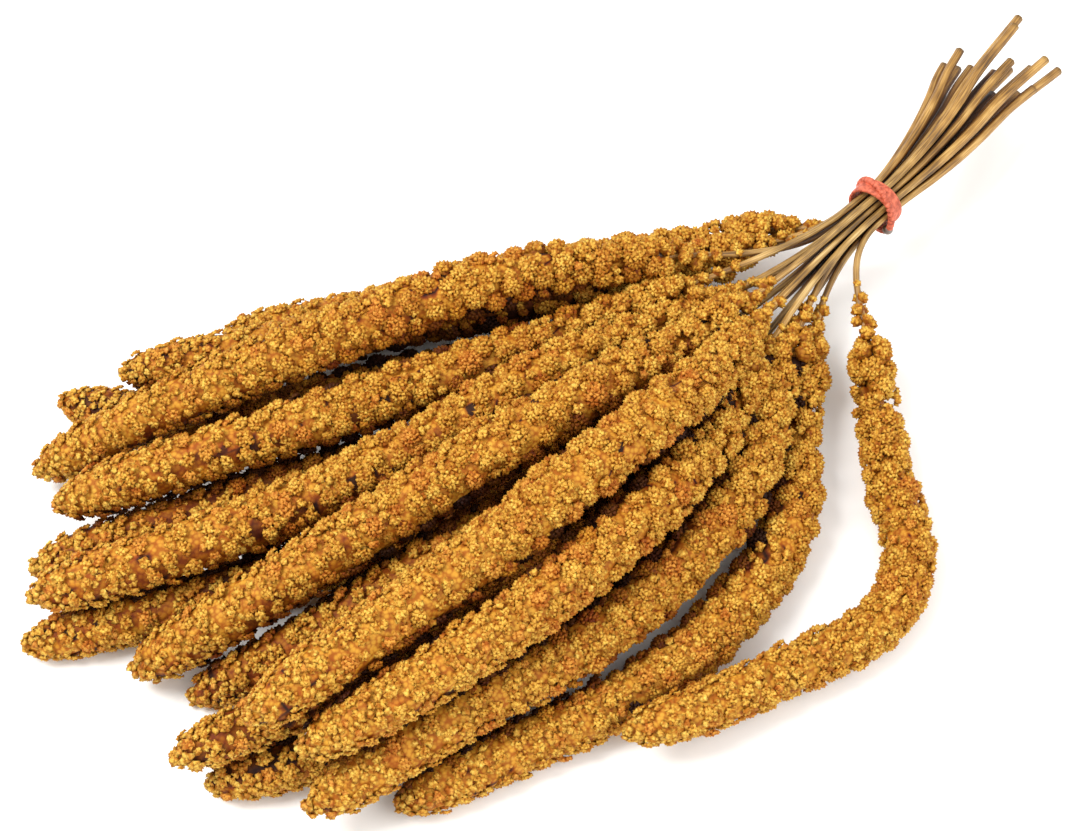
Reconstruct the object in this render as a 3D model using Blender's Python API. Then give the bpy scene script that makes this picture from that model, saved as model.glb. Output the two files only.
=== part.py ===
"""Tied bunch of foxtail millet seed heads, lying on a flat surface.

The sprays are held at their stems by one red elastic tie. Each spray is a straw stem and a dense
golden seed head, grown as one thing and kept as two solids for its two colours. A spray is described
by where it points and how far it reaches from the tie. Its height is worked out by laying the sprays
one on another, from the bottom of the pile to its top, as stiff lines that start inside the tie.

Lengths are in millimetres and angles in degrees until a mesh is made, which is in metres.
"""
from dataclasses import dataclass
import math
import random

import bmesh
import bpy
import numpy as np
from mathutils import Matrix, Vector

MM = 0.001

# Places of the stems in the tie
TIE_HEIGHT = 34.0
TIE_AXIS_ANGLE = 10.0
SLOT_PITCH = 3.7
SLOT_RISE = 3.2
TIE_HOLD = 8.0

# Stems, which spread again on their cut side
STEM_RADIUS = 1.6
STEM_END_RADIUS = 1.35
STEM_CUT_RADIUS = 2.15
STEM_CUT_SWELL = 45.0
STEM_SIDES = 5
STEM_TOLERANCE = 0.2
STEM_TO_HEAD_GAP = 0.3
STEM_BOW = 0.4
CUT_SIDE_ANGLE = 17.0
CUT_SIDE_SPREAD = 3.1
CUT_SIDE_RISE = 2.4
CUT_SIDE_REACH = 110.0
CUT_SIDE_SWAY = 1.6
CUT_SIDE_POINTS = 14

# Seed heads, with girths and cluster depths as shares of the full girth
HEAD_SIDES = 10
HEAD_RING_PITCH = 8.2
BASE_GIRTH = 0.45
SWELL_LENGTH = 75.0
TAPER_START = 0.35
TIP_GIRTH = 0.82
TIP_LENGTH = 24.0
CLUSTER_DEPTH_AT_BASE = 0.17
CLUSTER_DEPTH_AT_TIP = 0.07
CLUSTER_UNEVEN = 0.05
TIP_FLAT = 2.4

# Pile: how closely the sprays lie, and how stiffly they bend over one another
LINE_STEP = 4.0
PRESS_ON_SURFACE = 1.2
NEAR_SURFACE = 0.25
HEAD_CLEARANCE = 0.8
STEM_CLEARANCE = 0.5
LINE_STIFFNESS = 12.0
LINE_WEIGHT = 0.001
HELD_POINTS = 3
HELD_WEIGHT = 100.0
FREE_OF_TIE = 10.0

# Tie: a flat band with bevelled edges, a round strand across it and a knob
BAND_RADIUS = 9.9
BAND_THICKNESS = 1.6
BAND_WIDTH = 8.0
BAND_BEVEL = 1.0
BAND_TILT = 6.0
STRAND_RADIUS = 1.6
STRAND_LOOP = 11.9
STRAND_SIDES = 6
STRAND_TILT = 21.0
KNOB_RADIUS = 2.3
KNOB_ANGLE = -28.0
TIE_SEGMENTS = 24

# Distances from the tie at which the directions of a spray are given
STATIONS = (80, 150, 220, 300, 380)
BENT_STATIONS = (60, 120, 170, 190, 225, 270)

SEED = 7


@dataclass(frozen=True)
class Spray:
    """One spray: its girth, where its seeds begin, and where it goes."""

    girth: float
    start: float
    length: float
    fan: tuple
    slot: tuple
    cut: float
    stations: tuple = STATIONS


# The sprays in the order in which they are laid, the lowest first
SPRAYS = (
    Spray(12.5, 100, 268, (170, 168.5, 165, 163, 156), (1, -2), 112),
    Spray(12.5, 170, 242, (181, 183, 183, 179, 175.5), (0, -2), 118),
    Spray(12.5, 168, 228, (200.5, 202, 200, 195.5, 188.5), (-1, -2), 106),
    Spray(12.5, 52, 234, (151.5, 152, 154.5, 154, 150), (1.5, -1), 96),
    Spray(12.5, 175, 217, (175, 175.5, 174, 171.5, 170), (0.5, -1), 84),
    Spray(12.0, 172, 222, (192.5, 193.5, 193.5, 191.5, 187.5), (-0.5, -1), 92),
    Spray(13.0, 84, 280, (210, 217.5, 212.5, 202, 194.5), (-1.5, -1), 124),
    Spray(12.0, 78, 240, (229, 233, 235, 232.5, 221.5, 211), (-2, 0), 100, BENT_STATIONS),
    Spray(12.5, 70, 262, (162, 160.5, 159.5, 159, 159), (2, 0), 88),
    Spray(13.0, 106, 270, (164, 162.5, 163, 163.5, 163.5), (1, 0), 94),
    Spray(12.5, 116, 252, (188, 190, 189.5, 186.5, 181.5), (0, 0), 98),
    Spray(13.0, 90, 290, (205, 210, 206, 199, 193.5), (-1, 0), 110),
    Spray(13.0, 108, 266, (171, 171.5, 170.5, 169, 167.5), (1.5, 1), 94),
    Spray(13.5, 102, 298, (179, 179.5, 178.5, 176.5, 174), (0.5, 1), 126),
    Spray(13.0, 116, 250, (200, 203.5, 201.5, 197, 191.5), (-1.5, 1), 112),
    Spray(13.5, 104, 266, (194.5, 198, 195, 192, 190), (-0.5, 1), 102),
    Spray(13.5, 100, 280, (187, 188, 186, 183, 179.5), (0, 2), 114),
)


def smooth_curve(xs, ys, at):
    """Value of a smooth curve through the given points, straight on beyond its ends."""
    xs = np.array(xs, float)
    ys = np.array(ys, float)
    slope = np.gradient(ys, xs)
    k = np.clip(np.searchsorted(xs, at) - 1, 0, len(xs) - 2)
    width = xs[k + 1] - xs[k]
    t = (at - xs[k]) / width
    start = (2 * t ** 3 - 3 * t ** 2 + 1) * ys[k] + (t ** 3 - 2 * t ** 2 + t) * width * slope[k]
    end = (3 * t ** 2 - 2 * t ** 3) * ys[k + 1] + (t ** 3 - t ** 2) * width * slope[k + 1]
    value = start + end
    value = np.where(at < xs[0], ys[0] + slope[0] * (at - xs[0]), value)
    return np.where(at > xs[-1], ys[-1] + slope[-1] * (at - xs[-1]), value)


def distances_along(points):
    """Distance from the first point to each point of a line."""
    steps = np.linalg.norm(np.diff(points, axis=0), axis=1)
    return np.concatenate([[0.0], np.cumsum(steps)])


def points_at(points, at):
    """Points of a line at the given distances along it."""
    along = distances_along(points)
    return np.stack([np.interp(at, along, column) for column in points.T], axis=1)


def evenly(points, pitch):
    """The same line with its points evenly spaced, about one pitch apart."""
    length = distances_along(points)[-1]
    return points_at(points, np.linspace(0.0, length, max(2, round(length / pitch)) + 1))


def direction(angle):
    """Unit vector in plan."""
    return np.array([math.cos(math.radians(angle)), math.sin(math.radians(angle))])


def slot_in_plan(spray):
    """Plan position of a stem inside the tie."""
    return direction(TIE_AXIS_ANGLE + 90.0) * spray.slot[0] * SLOT_PITCH


def slot_height(spray):
    """Height of a stem inside the tie."""
    return TIE_HEIGHT + spray.slot[1] * SLOT_RISE


def head_plan(spray):
    """Plan line of a seed head, from its base to its tip."""
    reach = np.arange(spray.start, spray.start + spray.length * 1.3, 1.0)
    angle = np.radians(smooth_curve(spray.stations, spray.fan, reach))
    line = np.stack([reach * np.cos(angle), reach * np.sin(angle)], axis=1)
    return points_at(line, np.linspace(0.0, spray.length, round(spray.length / LINE_STEP) + 1))


def stem_plan(spray, head):
    """Plan line of the stem from the middle of the tie to the base of its head."""
    slot = slot_in_plan(spray)
    along_tie = -direction(TIE_AXIS_ANGLE)
    leave = slot + along_tie * TIE_HOLD
    arrive = head[0]
    heading = (head[1] - head[0]) / np.linalg.norm(head[1] - head[0])
    hold = STEM_BOW * np.linalg.norm(arrive - leave)
    t = np.linspace(0.0, 1.0, 40)[:, None]
    bow = (1 - t) ** 3 * leave + 3 * (1 - t) ** 2 * t * (leave + along_tie * hold)
    bow = bow + 3 * (1 - t) * t ** 2 * (arrive - heading * hold) + t ** 3 * arrive
    return evenly(np.vstack([slot[None], bow]), LINE_STEP)


def head_girth(spray, along):
    """Radius of a seed head over its clusters at distances from its base."""
    swell = np.clip(along / SWELL_LENGTH, 0, 1)
    radius = spray.girth * (BASE_GIRTH + (1 - BASE_GIRTH) * swell ** 2 * (3 - 2 * swell))
    taper = np.clip((along / spray.length - TAPER_START) / (1 - TAPER_START), 0, 1)
    radius = radius * (1 - (1 - TIP_GIRTH) * taper ** 1.5)
    left = np.clip((spray.length - along) / TIP_LENGTH, 0, 1)
    return np.maximum(radius * np.sqrt(1 - (1 - left) ** 2), TIP_FLAT)


def stiff_line(need, held):
    """Lowest smooth heights that are nowhere under the needed ones and start at the held height."""
    count = len(need)
    bend = np.zeros((count - 2, count))
    for row in range(count - 2):
        bend[row, row:row + 3] = (1, -2, 1)
    stiffness = LINE_STIFFNESS * bend.T @ bend
    target = need.copy()
    target[:HELD_POINTS] = held
    height = need.copy()
    for _ in range(40):
        weight = np.where(height < target, 1.0, LINE_WEIGHT)
        weight[:HELD_POINTS] = HELD_WEIGHT
        height = np.linalg.solve(np.diag(weight) + stiffness, weight * target)
    short = np.maximum(need - height, 0.0)
    short[:HELD_POINTS] = 0.0
    widest = np.array([short[max(0, i - 2):i + 3].max() for i in range(count)])
    lift = np.array([widest[max(0, i - 2):i + 3].mean() for i in range(count)])
    return height + np.maximum(lift, short)


def lay_sprays():
    """Lines of all sprays, each with its points, its radii and the number of its stem points."""
    laid = []
    for spray in SPRAYS:
        head = head_plan(spray)
        stem = stem_plan(spray, head)
        plan = np.vstack([stem[:-1], head])
        stem_points = len(stem) - 1
        along = distances_along(head)
        radius = np.concatenate([np.full(stem_points, STEM_RADIUS), head_girth(spray, along)])
        is_stem = np.arange(len(plan)) < stem_points
        far = np.linalg.norm(plan, axis=1) > FREE_OF_TIE
        need = radius - np.where(is_stem, 0.0, PRESS_ON_SURFACE)
        for other in laid:
            apart = np.linalg.norm(plan[:, None] - other["line"][None, :, :2], axis=2)
            both_stems = is_stem[:, None] & other["is_stem"][None]
            clearance = np.where(is_stem[:, None] | other["is_stem"][None], STEM_CLEARANCE, HEAD_CLEARANCE)
            reach = radius[:, None] + other["radius"][None] + clearance
            meets = (apart < reach) & ~(both_stems & ~(far[:, None] & other["far"][None]))
            over = other["line"][None, :, 2] + np.sqrt(np.maximum(reach ** 2 - apart ** 2, 0.0))
            need = np.maximum(need, np.where(meets, over, 0.0).max(axis=1))
        height = stiff_line(need, slot_height(spray))
        line = np.column_stack([plan, height])
        laid.append(
            {"line": line, "radius": radius, "is_stem": is_stem, "far": far, "count": stem_points}
        )
    return laid


def cut_side(spray, chance):
    """Line of the cut end of a stem, from its tip to the middle of the tie."""
    along = np.linspace(spray.cut, 0.0, CUT_SIDE_POINTS)
    past = np.maximum(along - TIE_HOLD, 0.0) / (CUT_SIDE_REACH - TIE_HOLD)
    spread = 1 + (CUT_SIDE_SPREAD - 1) * past ** 1.15
    rise = 1 + (CUT_SIDE_RISE - 1) * past ** 1.15
    turn = TIE_AXIS_ANGLE + (CUT_SIDE_ANGLE - TIE_AXIS_ANGLE) * np.minimum(past * 1.4, 1.0)
    sway = chance.uniform(-CUT_SIDE_SWAY, CUT_SIDE_SWAY) * past ** 1.6
    middle = np.stack([along * np.cos(np.radians(turn)), along * np.sin(np.radians(turn))], axis=1)
    across = np.stack([-np.sin(np.radians(turn)), np.cos(np.radians(turn))], axis=1)
    plan = middle + across * (spray.slot[0] * SLOT_PITCH * spread + sway)[:, None]
    return np.column_stack([plan, TIE_HEIGHT + spray.slot[1] * SLOT_RISE * rise])


def frames(points):
    """Sideways and rising unit vectors of a line that is nowhere upright."""
    along = np.gradient(points, axis=0)
    along = along / np.linalg.norm(along, axis=1)[:, None]
    side = np.cross(along, (0.0, 0.0, 1.0))
    side = side / np.linalg.norm(side, axis=1)[:, None]
    return side, np.cross(side, along)


def tube(points, radii, phase):
    """Mesh of a closed tube, with one radius for each ring and side, its split lines in the valleys."""
    bm = bmesh.new()
    side, rise = frames(points)
    sides = radii.shape[1]
    rings = []
    for k, centre in enumerate(points):
        ring = []
        for m in range(sides):
            angle = phase + 2 * math.pi * m / sides
            arm = side[k] * math.cos(angle) + rise[k] * math.sin(angle)
            ring.append(bm.verts.new(Vector((centre + arm * radii[k, m]) * MM)))
        rings.append(ring)
    for k in range(len(rings) - 1):
        for m in range(sides):
            n = (m + 1) % sides
            corners = (rings[k][m], rings[k][n], rings[k + 1][n], rings[k + 1][m])
            if radii[k, m] + radii[k + 1, n] > radii[k, n] + radii[k + 1, m]:
                corners = corners[1:] + corners[:1]
            bm.faces.new((corners[0], corners[1], corners[2]))
            bm.faces.new((corners[0], corners[2], corners[3]))
    bm.faces.new(rings[0])
    bm.faces.new(rings[-1])
    bmesh.ops.recalc_face_normals(bm, faces=bm.faces)
    return bm


def press_on_surface(bm):
    """Cuts the seeds off flat where they press on the surface at height zero."""
    for vert in bm.verts:
        if abs(vert.co.z) < NEAR_SURFACE * MM:
            vert.co.z = NEAR_SURFACE * MM
    if min(vert.co.z for vert in bm.verts) > 0:
        return
    everything = bm.verts[:] + bm.edges[:] + bm.faces[:]
    bmesh.ops.bisect_plane(bm, geom=everything, plane_co=(0, 0, 0), plane_no=(0, 0, 1), clear_inner=True)
    open_edges = [edge for edge in bm.edges if edge.is_boundary]
    bmesh.ops.holes_fill(bm, edges=open_edges, sides=0)
    bmesh.ops.recalc_face_normals(bm, faces=bm.faces)


def add_object(name, bm, material):
    """Object with the mesh and material given."""
    mesh = bpy.data.meshes.new(name)
    bm.to_mesh(mesh)
    bm.free()
    mesh.materials.append(material)
    obj = bpy.data.objects.new(name, mesh)
    bpy.context.collection.objects.link(obj)
    return obj


def make_material(name, colour, roughness):
    """Plain material of one colour."""
    material = bpy.data.materials.new(name)
    material.use_nodes = True
    shader = material.node_tree.nodes["Principled BSDF"]
    shader.inputs["Base Color"].default_value = (*colour, 1.0)
    shader.inputs["Roughness"].default_value = roughness
    return material


def make_head(name, spray, line, material, chance):
    """Seed head whose surface stands out in staggered clusters."""
    length = distances_along(line)[-1]
    points = evenly(line, HEAD_RING_PITCH)
    along = distances_along(points)
    girth = head_girth(spray, along * spray.length / length)
    depth = np.interp(along, (0.0, length), (CLUSTER_DEPTH_AT_BASE, CLUSTER_DEPTH_AT_TIP))
    radii = np.zeros((len(points), HEAD_SIDES))
    for k in range(len(points)):
        for m in range(HEAD_SIDES):
            valley = depth[k] if (k + m) % 2 else 0.0
            radii[k, m] = girth[k] * (1 - valley - chance.uniform(0, CLUSTER_UNEVEN))
    bm = tube(points, radii, chance.uniform(0, 2 * math.pi))
    press_on_surface(bm)
    return add_object(name, bm, material)


def simplest(points, tolerance):
    """Fewest points of a line that stay within the tolerance of it."""
    first, last = points[0], points[-1]
    chord = (last - first) / np.linalg.norm(last - first)
    away = points - first
    off = np.linalg.norm(away - (away @ chord)[:, None] * chord, axis=1)
    worst = int(off.argmax())
    if off[worst] <= tolerance:
        return np.array([first, last])
    near = simplest(points[:worst + 1], tolerance)
    return np.vstack([near[:-1], simplest(points[worst:], tolerance)])


def make_stem(name, spray, line, material):
    """Stem from its thicker cut end, through the tie, to just short of the base of its head."""
    length = distances_along(line)[-1]
    points = simplest(points_at(line, np.linspace(0.0, length - STEM_TO_HEAD_GAP, 120)), STEM_TOLERANCE)
    along = distances_along(points)
    radius = np.interp(
        along,
        (spray.cut - STEM_CUT_SWELL, spray.cut - TIE_HOLD, 0.4 * length, length),
        (STEM_CUT_RADIUS, STEM_RADIUS, STEM_RADIUS, STEM_END_RADIUS),
    )
    radii = np.repeat(radius[:, None], STEM_SIDES, axis=1)
    return add_object(name, tube(points, radii, 0.3), material)


def ring_round_stems(name, section, tilt, material):
    """Closed ring that a section of (distance along the axis, radius) makes round the stems."""
    bm = bmesh.new()
    turn = Matrix.Rotation(math.radians(TIE_AXIS_ANGLE + tilt), 4, "Z")
    rings = []
    for k in range(TIE_SEGMENTS):
        angle = 2 * math.pi * k / TIE_SEGMENTS
        ring = []
        for along, radius in section:
            place = Vector((along, radius * math.cos(angle), radius * math.sin(angle))) * MM
            ring.append(bm.verts.new(turn @ place + Vector((0, 0, TIE_HEIGHT * MM))))
        rings.append(ring)
    count = len(section)
    for k in range(TIE_SEGMENTS):
        near, far = rings[k], rings[(k + 1) % TIE_SEGMENTS]
        for m in range(count):
            n = (m + 1) % count
            bm.faces.new((near[m], near[n], far[n], far[m]))
    bmesh.ops.recalc_face_normals(bm, faces=bm.faces)
    return add_object(name, bm, material)


def make_tie(material):
    """Red elastic: a flat band, a round strand that crosses it, and the knob that closes it."""
    half = BAND_WIDTH / 2
    outer = BAND_RADIUS + BAND_THICKNESS
    band_section = (
        (-half, BAND_RADIUS),
        (half, BAND_RADIUS),
        (half, outer - BAND_BEVEL / 2),
        (half - BAND_BEVEL, outer),
        (BAND_BEVEL - half, outer),
        (-half, outer - BAND_BEVEL / 2),
    )
    tie = ring_round_stems("tie", band_section, BAND_TILT, material)
    strand_section = []
    for k in range(STRAND_SIDES):
        angle = 2 * math.pi * (k + 0.5) / STRAND_SIDES
        out = STRAND_LOOP + STRAND_RADIUS * math.sin(angle)
        strand_section.append((STRAND_RADIUS * math.cos(angle), out))
    strand = ring_round_stems("strand", strand_section, BAND_TILT - STRAND_TILT, material)

    knob_mesh = bmesh.new()
    bmesh.ops.create_icosphere(knob_mesh, subdivisions=2, radius=KNOB_RADIUS * MM)
    turn = Matrix.Rotation(math.radians(TIE_AXIS_ANGLE + BAND_TILT - STRAND_TILT), 4, "Z")
    angle = math.radians(180.0 + KNOB_ANGLE)
    place = turn @ Vector((0, STRAND_LOOP * math.cos(angle), -STRAND_LOOP * math.sin(angle))) * MM
    knob_mesh.transform(Matrix.Translation(place + Vector((0, 0, TIE_HEIGHT * MM))))
    knob = add_object("knob", knob_mesh, material)

    for piece in (strand, knob):
        join = tie.modifiers.new(piece.name, "BOOLEAN")
        join.operation = "UNION"
        join.solver = "EXACT"
        join.object = piece
    bake_modifiers(tie)
    bpy.data.objects.remove(strand)
    bpy.data.objects.remove(knob)
    return tie


def bake_modifiers(obj):
    """Puts the result of an object's modifiers into its mesh."""
    graph = bpy.context.evaluated_depsgraph_get()
    baked = bpy.data.meshes.new_from_object(obj.evaluated_get(graph))
    obj.modifiers.clear()
    obj.data = baked


def move_to_frame(objects):
    """Puts the middle of the bunch's box over the origin."""
    corners = np.array([vert.co[:] for obj in objects for vert in obj.data.vertices])
    middle = (corners.min(axis=0) + corners.max(axis=0)) / 2
    shift = Matrix.Translation((-middle[0], -middle[1], 0.0))
    for obj in objects:
        obj.data.transform(shift)


def main():
    """Builds the whole bunch."""
    for obj in list(bpy.data.objects):
        bpy.data.objects.remove(obj)

    straw = make_material("straw", (0.43, 0.25, 0.07), 0.7)
    seeds = make_material("millet seed", (0.62, 0.30, 0.03), 0.75)
    elastic = make_material("red elastic", (0.75, 0.15, 0.09), 0.6)

    chance = random.Random(SEED)
    objects = []
    for number, (spray, laid) in enumerate(zip(SPRAYS, lay_sprays()), start=1):
        line = laid["line"]
        count = laid["count"]
        head_line = line[count:]
        stem_line = np.vstack([cut_side(spray, chance)[:-1], line[:count + 1]])
        objects.append(make_stem(f"stem_{number:02d}", spray, stem_line, straw))
        objects.append(make_head(f"head_{number:02d}", spray, head_line, seeds, chance))
    objects.append(make_tie(elastic))
    move_to_frame(objects)


main()
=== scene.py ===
"""Looks of a tied bunch of foxtail millet that lies on a pale floor.

Every seed head of the frame is replaced by a grainy core that is covered in clusters of single seeds.
The clusters stand on the raised corners of the frame's mesh first and then fill the room between them,
so the form stays that of the frame. The stems become ribbed straw with hollow cut ends, and the tie a
ribbed elastic band with a beaded strand across it and a small metal clip.
"""

import logging
import math
import random
from collections.abc import Callable, Iterable
from dataclasses import dataclass
from enum import Enum

import bmesh
import bpy
import numpy as np
from mathutils import Matrix, Vector
from mathutils.bvhtree import BVHTree


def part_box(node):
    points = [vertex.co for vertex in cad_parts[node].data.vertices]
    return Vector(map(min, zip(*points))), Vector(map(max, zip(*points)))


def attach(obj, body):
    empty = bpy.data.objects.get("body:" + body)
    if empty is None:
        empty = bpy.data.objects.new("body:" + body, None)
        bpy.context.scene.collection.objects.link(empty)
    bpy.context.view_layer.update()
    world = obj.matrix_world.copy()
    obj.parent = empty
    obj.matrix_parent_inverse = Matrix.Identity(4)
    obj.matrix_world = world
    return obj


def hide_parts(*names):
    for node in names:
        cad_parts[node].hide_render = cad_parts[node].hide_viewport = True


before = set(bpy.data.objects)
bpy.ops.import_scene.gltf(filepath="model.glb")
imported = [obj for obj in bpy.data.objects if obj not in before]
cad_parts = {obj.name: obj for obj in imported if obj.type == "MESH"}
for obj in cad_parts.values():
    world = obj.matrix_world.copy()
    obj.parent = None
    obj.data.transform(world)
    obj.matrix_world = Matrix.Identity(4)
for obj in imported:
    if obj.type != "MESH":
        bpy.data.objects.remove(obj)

MM = 0.001
WELD = 1e-6
FLOOR_TOUCH = 10 * WELD
GOLDEN_TURN = math.pi * (3 - math.sqrt(5))
HEAD_SIDES = 10
STEM_SIDES = 5
BEYOND_CUT = Vector((1.0, 0.3, 0.0))
LOG = logging.getLogger("millet")

Stops = tuple[tuple[float, str], ...]


class Slot(Enum):
    """Names of the pieces' material slots, which are passed along but not assigned here."""

    STRAW = "straw"
    SEED = "millet_seed"
    ELASTIC = "red_elastic"


class Reading(Enum):
    """Values on the vertices of a piece that its material reads."""

    CLUSTER_TONE = "cluster_tone"
    SEED_TONE = "seed_tone"
    # The next two set the painted shade of crevices and of places that other pieces hide from the sky.
    SHADE_LIFT = "shade_lift"
    OPEN_SKY = "open_sky"
    FIBRE = "fibre"
    RIPE = "ripe"


def linear(colour: str) -> tuple[float, float, float, float]:
    """Turns an sRGB hex colour into the linear colour of a shader socket.

    Args:
        colour: Six hex digits after a hash sign.

    Returns:
        Linear red, green and blue, and an alpha of one.
    """
    values = []
    for start in (1, 3, 5):
        share = int(colour[start:start + 2], 16) / 255
        values.append(share / 12.92 if share <= 0.04045 else ((share + 0.055) / 1.055) ** 2.4)
    return (*values, 1.0)


def add_node(
    tree: bpy.types.NodeTree, kind: str, settings: dict | None = None, inputs: dict | None = None
) -> bpy.types.Node:
    """Adds a shader node with its settings, socket values and links.

    On a Mix node socket 0 is the share, 2 and 3 are the two numbers, and 6 and 7 the two colours.

    Args:
        tree: Node tree of a material.
        kind: Blender's name for the node's type.
        settings: Values of the node's own properties.
        inputs: Socket name or number to a value, or to the output that is linked to it.

    Returns:
        The new node.
    """
    node = tree.nodes.new(kind)
    for name, value in (settings or {}).items():
        setattr(node, name, value)
    for name, value in (inputs or {}).items():
        if isinstance(value, bpy.types.NodeSocket):
            tree.links.new(value, node.inputs[name])
        else:
            node.inputs[name].default_value = value
    return node


def set_ramp(node: bpy.types.Node, stops: Iterable[tuple[float, str]]) -> None:
    """Sets the stops of a colour ramp.

    Args:
        node: Colour ramp node.
        stops: Position and hex colour of each stop, in rising order.
    """
    elements = node.color_ramp.elements
    stops = list(stops)
    while len(elements) < len(stops):
        elements.new(0.5)
    for element, (position, colour) in zip(elements, stops):
        element.position = position
        element.color = linear(colour)


def new_material(name: str) -> tuple[bpy.types.Material, bpy.types.NodeTree, bpy.types.Node]:
    """Makes a material with a Principled shader.

    Args:
        name: Name for the real material.

    Returns:
        The material, its node tree and its shader node.
    """
    material = bpy.data.materials.new(name)
    material.use_nodes = True
    tree = material.node_tree
    return material, tree, tree.nodes["Principled BSDF"]


@dataclass(frozen=True)
class SeedFinish:
    """Dried foxtail millet husk: hard and thin, so it is golden and almost matt; the shade in its gaps is
    painted into its colour.
    """

    name: str = "dried_millet_husk"
    tones: Stops = (
        (0.0, "#BA8834"), (0.25, "#CC9E40"), (0.55, "#D8AE4A"), (0.85, "#E0BC58"), (1.0, "#E6CA68")
    )
    orange: str = "#D6903E"
    orange_share: float = 0.6
    # Painted shade: darker towards the bases of the seeds and the lower sides of each cluster.
    painted_crevice_shade: Stops = ((0.0, "#AE8A50"), (0.35, "#E2C286"), (0.65, "#FFFAEC"), (1.0, "#FFFFFF"))
    # Painted shade: darker where other heads hide the sky, down to near black in the deepest gaps.
    painted_sky_shade: Stops = ((0.03, "#422C0C"), (0.15, "#B08846"), (0.3, "#ECD6A6"), (0.42, "#FFFFFF"))
    grain_mm: float = 1.9
    # Painted shade: darker at the edge of each grain, in the gaps between grains.
    painted_grain_edge_shade: Stops = ((0.3, "#FFFFFF"), (0.75, "#C49A62"))
    roughness: float = 0.65
    gloss: float = 0.2

    def material(self) -> bpy.types.Material:
        """Builds the husk material from the values on the clusters, with shade painted into its colour.

        The grains are as far apart as real seeds, about 1.9 mm, and also mark the core between them.

        Returns:
            The material.
        """
        material, tree, shader = new_material(self.name)
        cluster = add_node(tree, "ShaderNodeAttribute", {"attribute_name": Reading.CLUSTER_TONE.value})
        seed = add_node(tree, "ShaderNodeAttribute", {"attribute_name": Reading.SEED_TONE.value})
        shade_lift = add_node(tree, "ShaderNodeAttribute", {"attribute_name": Reading.SHADE_LIFT.value})
        open_sky = add_node(tree, "ShaderNodeAttribute", {"attribute_name": Reading.OPEN_SKY.value})
        mixed = add_node(
            tree,
            "ShaderNodeMix",
            inputs={0: 0.5, 2: cluster.outputs["Fac"], 3: seed.outputs["Fac"]},
        )
        tone = add_node(tree, "ShaderNodeValToRGB", inputs={"Fac": mixed.outputs[0]})
        set_ramp(tone, self.tones)
        is_orange = add_node(
            tree,
            "ShaderNodeMapRange",
            {"interpolation_type": "SMOOTHSTEP"},
            {
                "Value": cluster.outputs["Fac"],
                "From Min": 0.2,
                "From Max": 0.04,
                "To Max": self.orange_share,
            },
        )
        coloured = add_node(
            tree,
            "ShaderNodeMix",
            {"data_type": "RGBA"},
            {0: is_orange.outputs[0], 6: tone.outputs[0], 7: linear(self.orange)},
        )
        coordinates = add_node(tree, "ShaderNodeTexCoord")
        grains = add_node(
            tree,
            "ShaderNodeTexVoronoi",
            inputs={"Vector": coordinates.outputs["Object"], "Scale": 1 / (self.grain_mm * MM)},
        )
        # These three ramps paint shade into the colour: in crevices, where other heads hide the sky, and
        # between grains.
        shaded = coloured.outputs[2]
        for source, stops in (
            (shade_lift.outputs["Fac"], self.painted_crevice_shade),
            (open_sky.outputs["Fac"], self.painted_sky_shade),
            (grains.outputs["Distance"], self.painted_grain_edge_shade),
        ):
            ramp = add_node(tree, "ShaderNodeValToRGB", inputs={"Fac": source})
            set_ramp(ramp, stops)
            shaded = add_node(
                tree,
                "ShaderNodeMix",
                {"data_type": "RGBA", "blend_type": "MULTIPLY"},
                {0: 1.0, 6: shaded, 7: ramp.outputs[0]},
            ).outputs[2]
        bump = add_node(
            tree,
            "ShaderNodeBump",
            {"invert": True},
            {"Height": grains.outputs["Distance"], "Strength": 0.5, "Distance": 0.4 * MM},
        )
        tree.links.new(shaded, shader.inputs["Base Color"])
        tree.links.new(bump.outputs[0], shader.inputs["Normal"])
        shader.inputs["Roughness"].default_value = self.roughness
        shader.inputs["Specular IOR Level"].default_value = self.gloss
        return material


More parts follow.
